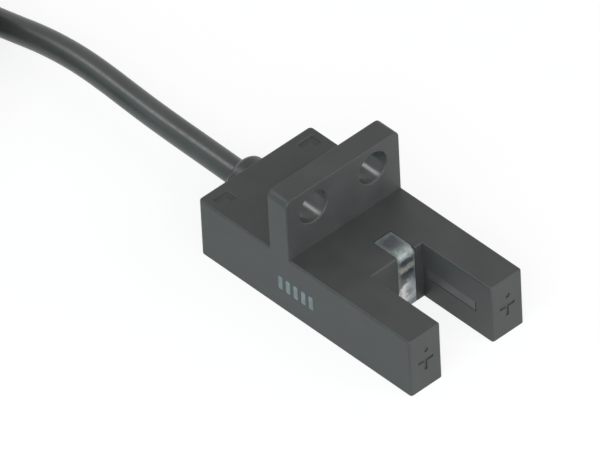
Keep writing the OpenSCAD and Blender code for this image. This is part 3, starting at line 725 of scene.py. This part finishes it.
def addTie():
    slack, thick = tie["slack"], tie["thick"]
    last = outerTrack - 2 * winding["pitch"] - cable["diameter"] / 2
    inner, outer = innerTrack - cable["diameter"] / 2, outerTrack + cable["diameter"] / 2
    full = coilTop - cable["diameter"]
    corners = [  # radius and height of the band's inner side
        (inner - slack - tie["innerSlack"], thick), (outer + slack, thick), (outer + slack, coilTop + slack),
        (last - slack, coilTop + slack), (inner - slack - tie["innerSlack"], full + slack),
    ]
    deselectAll()
    bpy.ops.mesh.primitive_circle_add(vertices=len(corners), fill_type="NOTHING")
    band = bpy.context.object
    for vertex, (radius, height) in zip(band.data.vertices, corners):
        vertex.co = (radius, -tie["width"] / 2, height)
    openMesh(band, "VERT")
    bpy.ops.mesh.select_all(action="SELECT")
    bpy.ops.mesh.bevel(offset=tie["corner"], segments=5, affect="VERTICES")
    bpy.ops.mesh.select_mode(type="EDGE")
    bpy.ops.mesh.select_all(action="SELECT")
    extrudeAlong((0, tie["width"], 0))
    fixNormals(band)
    wall = band.modifiers.new("wall", "SOLIDIFY")
    wall.thickness, wall.offset = thick * tie["wallShare"], 1
    soft = band.modifiers.new("soft", "BEVEL")
    soft.width, soft.segments, soft.limit_method = tie["edge"], 2, "ANGLE"
    takeUp(band)
    for step in (wall, soft):
        bpy.ops.object.modifier_apply(modifier=step.name)
    twistX, twistZ = outerTrack - tie["twistIn"], coilTop + slack + thick + tie["twistUp"]
    ends = []
    for side in (0, 1):
        path = []
        for step in range(tie["steps"] + 1):
            share = step / tie["steps"]
            turned = math.pi * (side + tie["halfTurns"] * share)
            wide = tie["strand"] + tie["flare"] * max(0, share - tie["flareFrom"]) / tie["flareSpan"]
            path.append((twistX + wide * math.cos(turned), tie["twistLong"] * share,
                         twistZ + wide * math.sin(turned)))
        end = smoothTube("tie_end", [path], tie["strand"] * 2, 4, 2)
        takeUp(end)
        bpy.ops.object.convert(target="MESH")
        end.scale = (1 / mm, 1 / mm, 1 / mm)
        applyPlace(end)
        ends.append(end)
    band = joinPieces([band] + ends)
    band.rotation_euler = (0, 0, math.radians(tie["angle"]))
    band.location = coilCentre
    applyPlace(band)
    return finishPiece(band, "coil_tie_band", [tiePlastic], ["coil_tie"], smooth=40)


tieBand = addTie()


# Bushing: a soft round boss with a rolled lip, a neck in the wall and a collar inside

bushing = {
    "radius": 2.3, "lip": 0.5, "neck": 1.7, "collar": 1.95, "bore": 1.27, "boreRound": 0.12, "z": 3.45,
    "mouth": 15.0, "wallOut": 13.34, "wallIn": 12.46, "end": 11.7,
}


def addBushing():
    size, mouth, z = bushing, bushing["mouth"], bushing["z"]
    boss = addRod("bushing", size["radius"], (0, size["wallOut"], z), (0, mouth, z), 96)
    roundEdges(boss, bothEnds(lambda p: near(p.y, mouth)), size["lip"], 7)
    pickFaces(boss, lambda centre, normal: normal.y < -faceOn)
    bpy.ops.mesh.inset(thickness=size["radius"] - size["neck"])
    extrudeAlong((0, size["wallIn"] - size["wallOut"], 0))
    extrudeAlong((0, 0, 0))
    grow = size["collar"] / size["neck"]
    bpy.ops.transform.resize(value=(grow, 1, grow), center_override=(0, size["wallIn"], z))
    extrudeAlong((0, size["end"] - size["wallIn"], 0))
    fixNormals(boss)
    bore = addRod("bore", size["bore"], (0, size["end"] - 2 * past, z), (0, mouth + 2 * past, z), 96)
    combine(boss, [bore])
    onBore = bothEnds(lambda p: near(p.y, mouth) and near(math.hypot(p.x, p.z - z), size["bore"], loose))
    roundEdges(boss, onBore, size["boreRound"], 3)
    giveMaterials(boss, lambda centre, normal: int(centre.y > mouth - size["lip"]))
    return finishPiece(boss, "cable_bushing_boss", bushingFinishes, ["cable_bushing"])


bushingBoss = addBushing()
print("tie and bushing ready")


# Housing: one hollow moulding with body, two arms and the flange

housing = {
    "roof": 6.25, "slotWidth": 6.0, "slotEnd": -4.7, "wall": 0.8, "armWall": 0.7, "roofThick": 0.8,
    "rearRound": 0.4, "tipRound": 0.25, "topRound": 0.2, "footRound": 0.08,
    "rim": 0.4, "rimRear": 0.3, "rimTip": 0.1, "coverThick": 0.8, "fit": 0.04,
    "rubbed": (0.75, 0.3, 0.3),  # how far in from its sides its rounded faces are rubbed
    "slantFrom": 0.985,  # greatest share of an axis in the normal of a rounded face
}
flange = {
    "front": 1.8, "back": 4.2, "cornerRound": 0.7, "edge": 0.11, "root": 0.14,
    "holeRadius": 1.6, "holeX": 3.5, "holeZ": 10.45, "chamfer": 0.1,
}
window = {
    "start": -5.3, "end": -11.3, "low": 2.4, "high": 3.4, "recess": 0.05, "plate": 0.45, "lip": 0.4,
    "edge": 0.06, "landShort": 0.14, "landIn": 0.15, "landRound": 0.02,
}
guide = {
    "left": 0.1, "right": 2.1, "low": 0.05, "back": -1.7, "bend": 0.7, "foot": 1.3, "footZ": 3.35,
    "lip": 0.4, "lipWide": 0.3, "edge": 0.1, "grow": 0.03, "seenDeep": 0.5,
}
mark = {  # heights from "z"
    "depth": 0.12, "z": 2.9, "pip": 0.24, "pipX": 0.1, "pipUp": 1.35, "half": 0.85, "line": (0.1, 0.4),
    "tickHalf": 0.15, "tick": (-0.85, 0.25), "edge": 0.03, "clear": 0.6, "within": (1.8, 4.8),
}
hook = {
    "depth": 0.17, "line": 0.5, "long": 1.6, "arm": 0.7, "y": 11.8, "edge": 0.13, "fromLeft": 0.9,
    "fromRight": 2.4, "within": (4.1, 6.0), "betweenY": (11.05, 12.5),
}
optic = {"y": -10.6, "wide": 2.6, "top": 4.5, "x": 4.65, "thick": 1.1, "rib": 0.5, "reach": 0.5}
board = {"top": boardTop, "postWide": 1.0, "posts": ((3.3, -2.8), (4.9, 8.8))}
clamp = {
    "wide": 4.9, "crimpY": 10.4, "crimpEnd": 12.1, "crimpRadius": 1.64, "collarY": 11.7,
    "collarRadius": 1.99,
}
overlap = 0.1  # how far pieces that are joined stand in each other
halfSlot = housing["slotWidth"] / 2
roof = housing["roof"]


def forkBlock(name, inset, z0, z1, rearRound, tipRound):
    # block in the fork's outline with every side moved inwards: the rear half, then two arms drawn out
    low, high = housingLow, housingHigh
    neck, arm = housing["slotEnd"] + inset, halfSlot + inset
    block = addBox(name, (low.x + inset, neck, z0), (high.x - inset, high.y - inset, z1))
    openMesh(block, "FACE")
    for side in (-1, 1):
        bpy.ops.mesh.select_all(action="SELECT")
        bpy.ops.mesh.bisect(plane_co=(side * arm, 0, 0), plane_no=(1, 0, 0), threshold=tiny)
    pushFaces(block, lambda centre, normal: normal.y < -faceOn and abs(centre.x) > arm,
              (0, low.y + inset - neck, 0))
    tidyMesh(block)
    roundEdges(block, lambda a, b: upright(a, b) and near(a.y, high.y - inset), rearRound, 7)
    roundEdges(block, lambda a, b: upright(a, b) and near(a.y, low.y + inset), tipRound, 5)
    return block


def fromHole(point):
    # distance from the axis of the nearer flange hole
    return math.hypot(abs(point.x) - flange["holeX"], point.z - flange["holeZ"])


def addFlange():
    low, high, size = housingLow, housingHigh, flange
    plate = addBox("flange", (low.x, size["front"], roof - housing["roofThick"]),
                   (high.x, size["back"], high.z))
    roundEdges(plate, lambda a, b: near(a.x, b.x) and near(a.z, high.z) and near(b.z, high.z),
               size["cornerRound"], 7)
    roundEdges(plate, lambda a, b: near(a.y, b.y) and (near(a.y, size["front"]) or near(a.y, size["back"]))
               and max(a.z, b.z) > roof, size["edge"], 3)
    for x in (-size["holeX"], size["holeX"]):
        combine(plate, [addRod("hole", size["holeRadius"], (x, size["front"] - 2 * past, size["holeZ"]),
                               (x, size["back"] + 2 * past, size["holeZ"]), 72)])
    onRim = bothEnds(lambda p: near(fromHole(p), size["holeRadius"], loose))
    roundEdges(plate, lambda a, b: onRim(a, b) and near(a.y, b.y), size["chamfer"], 1)
    return plate


def axisMark(centreX):
    # pip over a cross line with a short tick
    out, deep, z = housingLow.y - past, housingLow.y + mark["depth"], mark["z"]
    pipX, pipZ = centreX + mark["pipX"], z + mark["pipUp"]
    made = [addRod("pip", mark["pip"], (pipX, out, pipZ), (pipX, deep, pipZ), 24)]
    for name, half in (("line", mark["half"]), ("tick", mark["tickHalf"])):
        bottom, top = mark[name]
        made.append(addBox(name, (centreX - half, out, z + bottom), (centreX + half, deep, z + top)))
    return made


def hookRecess(x):
    bottom, y = roof - hook["depth"], hook["y"]
    end = x + hook["long"]
    return [
        addBox("hook_line", (x, y, bottom), (end, y + hook["line"], roof + past)),
        addBox("hook_arm", (end - hook["line"], y - hook["arm"], bottom), (end, y + overlap, roof + past)),
    ]


def bothSides(name, low, high):
    # a box and its mirror image on the other side of the fork
    (x0, y0, z0), (x1, y1, z1) = low, high
    return [addBox(name, low, high), addBox(name, (-x1, y0, z0), (-x0, y1, z1))]


def addHousing():
    size, fit = housing, housing["fit"]
    low, high = housingLow, housingHigh
    ceiling = roof - size["roofThick"]
    rear, neck = high.y - size["wall"], size["slotEnd"] + size["wall"]
    shell = forkBlock("housing", 0, 0, roof, size["rearRound"], size["tipRound"])
    roundEdges(shell, bothEnds(lambda p: near(p.z, roof)), size["topRound"], 4)
    roundEdges(shell, bothEnds(lambda p: near(p.z, 0)), size["footRound"], 2)
    combine(shell, [addFlange()], "UNION")
    roundEdges(shell, lambda a, b: near(a.z, roof) and near(b.z, roof) and near(a.y, b.y) and
               (near(a.y, flange["front"]) or near(a.y, flange["back"])), flange["root"], 3)
    armOut = high.x - size["armWall"]
    armIn = halfSlot + size["armWall"]
    cutters = [addBox("hollow", (low.x + size["wall"], neck, -past), (high.x - size["wall"], rear, ceiling))]
    cutters += bothSides("arm_hollow", (armIn, low.y + size["armWall"], -past),
                         (armOut, neck + 2 * overlap, ceiling))
    cutters += [forkBlock("rebate", size["rim"], -past, size["coverThick"], size["rimRear"], size["rimTip"])]
    combine(shell, cutters)
    inner, inCeiling = [], ceiling + overlap
    for end in (-1, 1):
        y = optic["y"] + end * optic["wide"] / 2
        inner += bothSides("rib", (armIn - overlap, y - optic["rib"] / 2, optic["top"] - optic["reach"]),
                           (armOut + overlap, y + optic["rib"] / 2, inCeiling))
    for x, y in board["posts"]:
        half = board["postWide"] / 2
        inner += bothSides("post", (x - half, y - half, board["top"]), (x + half, y + half, inCeiling))
    inner.append(addBox("clamp", (-clamp["wide"] / 2, clamp["crimpY"], bushing["z"]),
                        (clamp["wide"] / 2, rear + overlap, inCeiling)))
    combine(shell, inner, "UNION")
    seatZ, axis = optic["top"] + fit, bushing["z"]
    cutters = bothSides("seat", (optic["x"] - fit, optic["y"] - optic["wide"] / 2 - fit, -past),
                        (optic["x"] + optic["thick"] + fit, optic["y"] + optic["wide"] / 2 + fit, seatZ))
    for name, radius, start, end, sides in (
            ("crimp_seat", clamp["crimpRadius"], clamp["crimpY"] - past, clamp["crimpEnd"], 48),
            ("collar_seat", clamp["collarRadius"], clamp["collarY"] - fit, rear, 48),
            ("cable_hole", bushing["neck"] + fit, rear - past, high.y + past, 64)):
        cutters.append(addRod(name, radius, (0, start, axis), (0, end, axis), sides))
    for name, back, bottom in (("guide_slot", neck, -past), ("guide_roof", guide["back"], ceiling - past)):
        cutters.append(addBox(name, (guide["left"] - fit, size["slotEnd"] - past, bottom),
                              (guide["right"] + fit, back + fit, roof + past)))
    cutters += bothSides("slit", (halfSlot - past, window["end"], window["low"]),
                         (armIn + past, window["start"], window["high"]))
    armMiddle = (halfSlot + high.x) / 2
    for x in (-armMiddle, armMiddle):
        cutters += axisMark(x)
    for x in (low.x + hook["fromLeft"], high.x - hook["fromRight"]):
        cutters += hookRecess(x)
    combine(shell, cutters)
    softenMouths(shell)
    return shell


def softenMouths(shell):
    # worn-in edges round the slits, the sunk marks and the hooks
    slitLow, slitHigh = (halfSlot, window["end"], window["low"]), (halfSlot, window["start"], window["high"])
    roundEdges(shell, bothEnds(lambda p: inside((abs(p.x), p.y, p.z), slitLow, slitHigh)), window["edge"], 2)

    def onMark(point):
        clear, (bottom, top) = mark["clear"], mark["within"]
        across = halfSlot + clear < abs(point.x) < housingHigh.x - clear
        return near(point.y, housingLow.y) and across and bottom < point.z < top

    def onHook(point):
        (inner, outer), (first, last) = hook["within"], hook["betweenY"]
        return near(point.z, roof) and inner < abs(point.x) < outer and first < point.y < last

    roundEdges(shell, bothEnds(onMark), mark["edge"], 1)
    roundEdges(shell, bothEnds(onHook), hook["edge"], 1)


def housingFinish(centre, normal):
    # 1: the narrow rounded faces along the outside, rubbed; 2: the holes' walls, off a polished pin and
    #    painted lighter to lift the shade inside the holes
    slanted = max(abs(part) for part in normal) < housing["slantFrom"]
    margin = Vector(housing["rubbed"])
    inner = inside(centre, housingLow + margin, Vector((housingHigh.x, housingHigh.y, roof)) - margin)
    onHole = centre.z > roof and near(fromHole(centre), flange["holeRadius"], loose)
    if onHole and abs(normal.y) < 1 - faceOn:
        return 2
    return 1 if slanted and not inner else 0


shell = addHousing()
giveMaterials(shell, housingFinish)
finishPiece(shell, "housing_moulding", [housingPlastic, rubbedPlastic, boreLightenedPlastic],
            ["housing"])
print("housing ready")


# Windows: a dark filter plate inside each arm with a raised land in the slit

def addWindows():
    size, fit = window, housing["fit"]
    plateX, face = halfSlot + housing["armWall"], halfSlot + size["recess"]
    plate = addBox("window", (plateX + fit, size["end"] - size["lip"], size["low"] - size["lip"]),
                   (plateX + size["plate"], size["start"] - fit, size["high"] + size["lip"]))
    land = addBox("land", (face, size["end"] + size["landShort"], size["low"] + fit / 4),
                  (plateX + size["landIn"], size["start"] - fit / 4, size["high"] - fit / 4))
    roundEdges(land, bothEnds(lambda p: near(p.x, face)), size["landRound"], 2)
    combine(plate, [land], "UNION")
    twin = addObject("window_twin", plate.data.copy())
    twin.scale = (-1, 1, 1)
    applyPlace(twin)
    fixNormals(twin)
    finishPiece(plate, "receiver_window_filter", [filterPlastic], ["receiver_window"])
    finishPiece(twin, "emitter_window_filter", [filterPlastic], ["emitter_window"])


addWindows()


# Light guide: clear strip along the roof, over the edge and down the slot's end wall

def addGuide():
    size, fit = guide, housing["fit"]
    face, thick = housing["slotEnd"], housing["wall"]
    ceiling = roof - housing["roofThick"]
    left, right = size["left"] - size["grow"], size["right"] + size["grow"]
    strip = addBox("guide", (left, face, size["low"]), (right, face + thick, ceiling))
    pushFaces(strip, lambda centre, normal: normal.z > faceOn, (0, 0, roof - ceiling))
    for length in (size["back"] - size["foot"] - face - thick, size["foot"]):
        pushFaces(strip, lambda centre, normal: normal.y > faceOn and centre.z > ceiling, (0, length, 0))
    pushFaces(strip, lambda centre, normal: normal.z < -faceOn and centre.y > size["back"] - size["foot"] and
              near(centre.z, ceiling), (0, 0, size["footZ"] - ceiling))
    tidyMesh(strip)
    roundEdges(strip, bothEnds(lambda p: near(p.y, face) and near(p.z, roof)), size["bend"], 9)
    outside = bothEnds(lambda p: near(p.z, roof) or p.y < face + size["bend"] - loose)
    atRear = bothEnds(lambda p: near(p.y, size["back"]) and near(p.z, roof))
    inWall = bothEnds(lambda p: near(p.y, face + thick))
    roundEdges(strip, lambda a, b: outside(a, b) and not inWall(a, b) and
               (atRear(a, b) or near(a.x, b.x) and (near(a.x, left) or near(a.x, right))), size["edge"], 3)
    lipWide = size["lipWide"]
    lips = addBox("guide_lips", (size["left"] - lipWide, face + thick + 2 * fit, ceiling - size["lip"]),
                  (size["right"] + lipWide, size["back"], ceiling - fit))
    combine(strip, [lips], "UNION")
    giveMaterials(strip, guideFinish)
    finishPiece(strip, "light_guide_strip", guideFinishes, ["light_guide"], smooth=25)


def guideFinish(centre, normal):
    # 0: clear ends below the roof; 1: what is seen from outside; 2: lacquered back and foot
    backY, inRoof = housing["slotEnd"] + housing["wall"], roof - guide["seenDeep"]
    under = normal.z < -faceOn and roof - housing["roofThick"] - guide["lip"] - loose < centre.z < inRoof
    if under or centre.y > backY - loose and centre.z < inRoof and abs(normal.z) < faceOn:
        return 2
    return 1 if centre.z > inRoof or centre.y < backY else 0


addGuide()
print("windows and light guide ready")


# Printing on the side: five plain blocks

printing = {
    "count": 5, "first": -0.82, "pitch": 0.96, "low": 2.25, "high": 3.7, "wide": 0.52, "round": 0.16,
    "thick": 0.012,
}


def addPrinting():
    size, left = printing, housingLow.x
    start = size["first"] - size["wide"] / 2
    block = addBox("print", (left - size["thick"], start, size["low"]),
                   (left + size["thick"], start + size["wide"], size["high"]))
    roundEdges(block, lambda a, b: near(a.y, b.y) and near(a.z, b.z), size["round"], 4)
    blocks = [block]
    for number in range(1, size["count"]):
        twin = addObject("print", block.data.copy())
        twin.location = (0, number * size["pitch"], 0)
        applyPlace(twin)
        blocks.append(twin)
    finishPiece(joinPieces(blocks), "side_print_blocks", [inkPaint], flatFirst=False)


addPrinting()


# Floor, lamps and world

studio = {
    "floor": 4.0, "floorColour": "#f2f2f1", "glow": 0.76, "glowLevel": 1.1,
    "sky": 0.3, "skyTone": (1, 0.97, 0.97, 1), "backdrop": 1.0,
    "under": 0.00002, "middle": (0, 5 * mm, 5 * mm),  # the floor's depth, and where the lamps point
}
lamps = {  # sizes and distances in metres
    "key": {"towards": (-0.32, 0.56, 0.72), "wide": 0.25, "watts": 1.8, "tone": (1, 1, 1),
            "away": 0.9, "lights": False},  # only its glint in the holes is wanted
    "front": {"towards": (0.35, -0.85, 0.42), "wide": 0.9, "watts": 4.9, "tone": (1, 0.98, 0.97)},
    "left": {"towards": (-0.55, -0.75, 0.3), "wide": 0.9, "watts": 5.4, "tone": (0.8, 1, 1)},
    "high": {"towards": (-0.72, -0.3, 0.62), "wide": 0.8, "watts": 4.1, "tone": (0.98, 1, 0.99)},
    # a faint cool light on the long side alone
    "side": {"towards": (-1, 0.15, 0.1), "wide": 0.6, "watts": 1.4, "tone": (0.1, 1, 1)},
}


def seenRays(tree):
    # 1 for camera, glossy and transmission rays
    rays = addNode(tree, "ShaderNodeLightPath").outputs
    first = mathNode(tree, "MAXIMUM", rays["Is Camera Ray"], rays["Is Glossy Ray"])
    return mathNode(tree, "MAXIMUM", first, rays["Is Transmission Ray"])


def mixShaders(tree, share, first, second):
    parts = {0: share, 1: first.outputs[0], 2: second.outputs[0]}
    return addNode(tree, "ShaderNodeMixShader", parts).outputs[0]


def addFloor():
    # matt white paper, lifted to white where it is seen, so that only the soft shadow stays
    material, tree, _ = startMaterial("studio_paper")
    paper = addNode(tree, "ShaderNodeBsdfDiffuse", {"Color": colour(studio["floorColour"])})
    glow = addNode(tree, "ShaderNodeEmission", {"Color": (1, 1, 1, 1), "Strength": studio["glowLevel"]})
    share = mathNode(tree, "MULTIPLY", seenRays(tree), studio["glow"])
    addNode(tree, "ShaderNodeOutputMaterial", {"Surface": mixShaders(tree, share, paper, glow)})
    deselectAll()
    bpy.ops.mesh.primitive_plane_add(size=studio["floor"], location=(0, 0, -studio["under"]))
    floor = bpy.context.object
    floor.name = "studio_floor"
    applyPlace(floor)
    floor.data.materials.append(material)


def addLamp(name, towards, wide, watts, tone, away=1.0, lights=True):
    direction = Vector(towards).normalized()
    data = bpy.data.lights.new(name, "AREA")
    data.shape, data.size, data.energy, data.color = "SQUARE", wide, watts, tone
    lamp = addObject(name, data)
    lamp.location = direction * away + Vector(studio["middle"])
    lamp.rotation_euler = direction.to_track_quat("Z", "Y").to_euler()
    lamp.visible_camera = False
    lamp.visible_diffuse = lights


def addWorld():
    world = bpy.data.worlds.new("studio_world")
    world.use_nodes = True
    bpy.context.scene.world = world
    tree = world.node_tree
    tree.nodes.clear()
    sky = addNode(tree, "ShaderNodeBackground", {"Color": studio["skyTone"], "Strength": studio["sky"]})
    backdrop = addNode(tree, "ShaderNodeBackground", {"Color": (1, 1, 1, 1), "Strength": studio["backdrop"]})
    addNode(tree, "ShaderNodeOutputWorld", {"Surface": mixShaders(tree, seenRays(tree), sky, backdrop)})


addFloor()
for lampName, lampSize in lamps.items():
    addLamp(lampName + "_lamp", **lampSize)
addWorld()
bpy.context.scene.view_settings.view_transform = "Standard"
print("studio ready")

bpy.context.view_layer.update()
deselectAll()
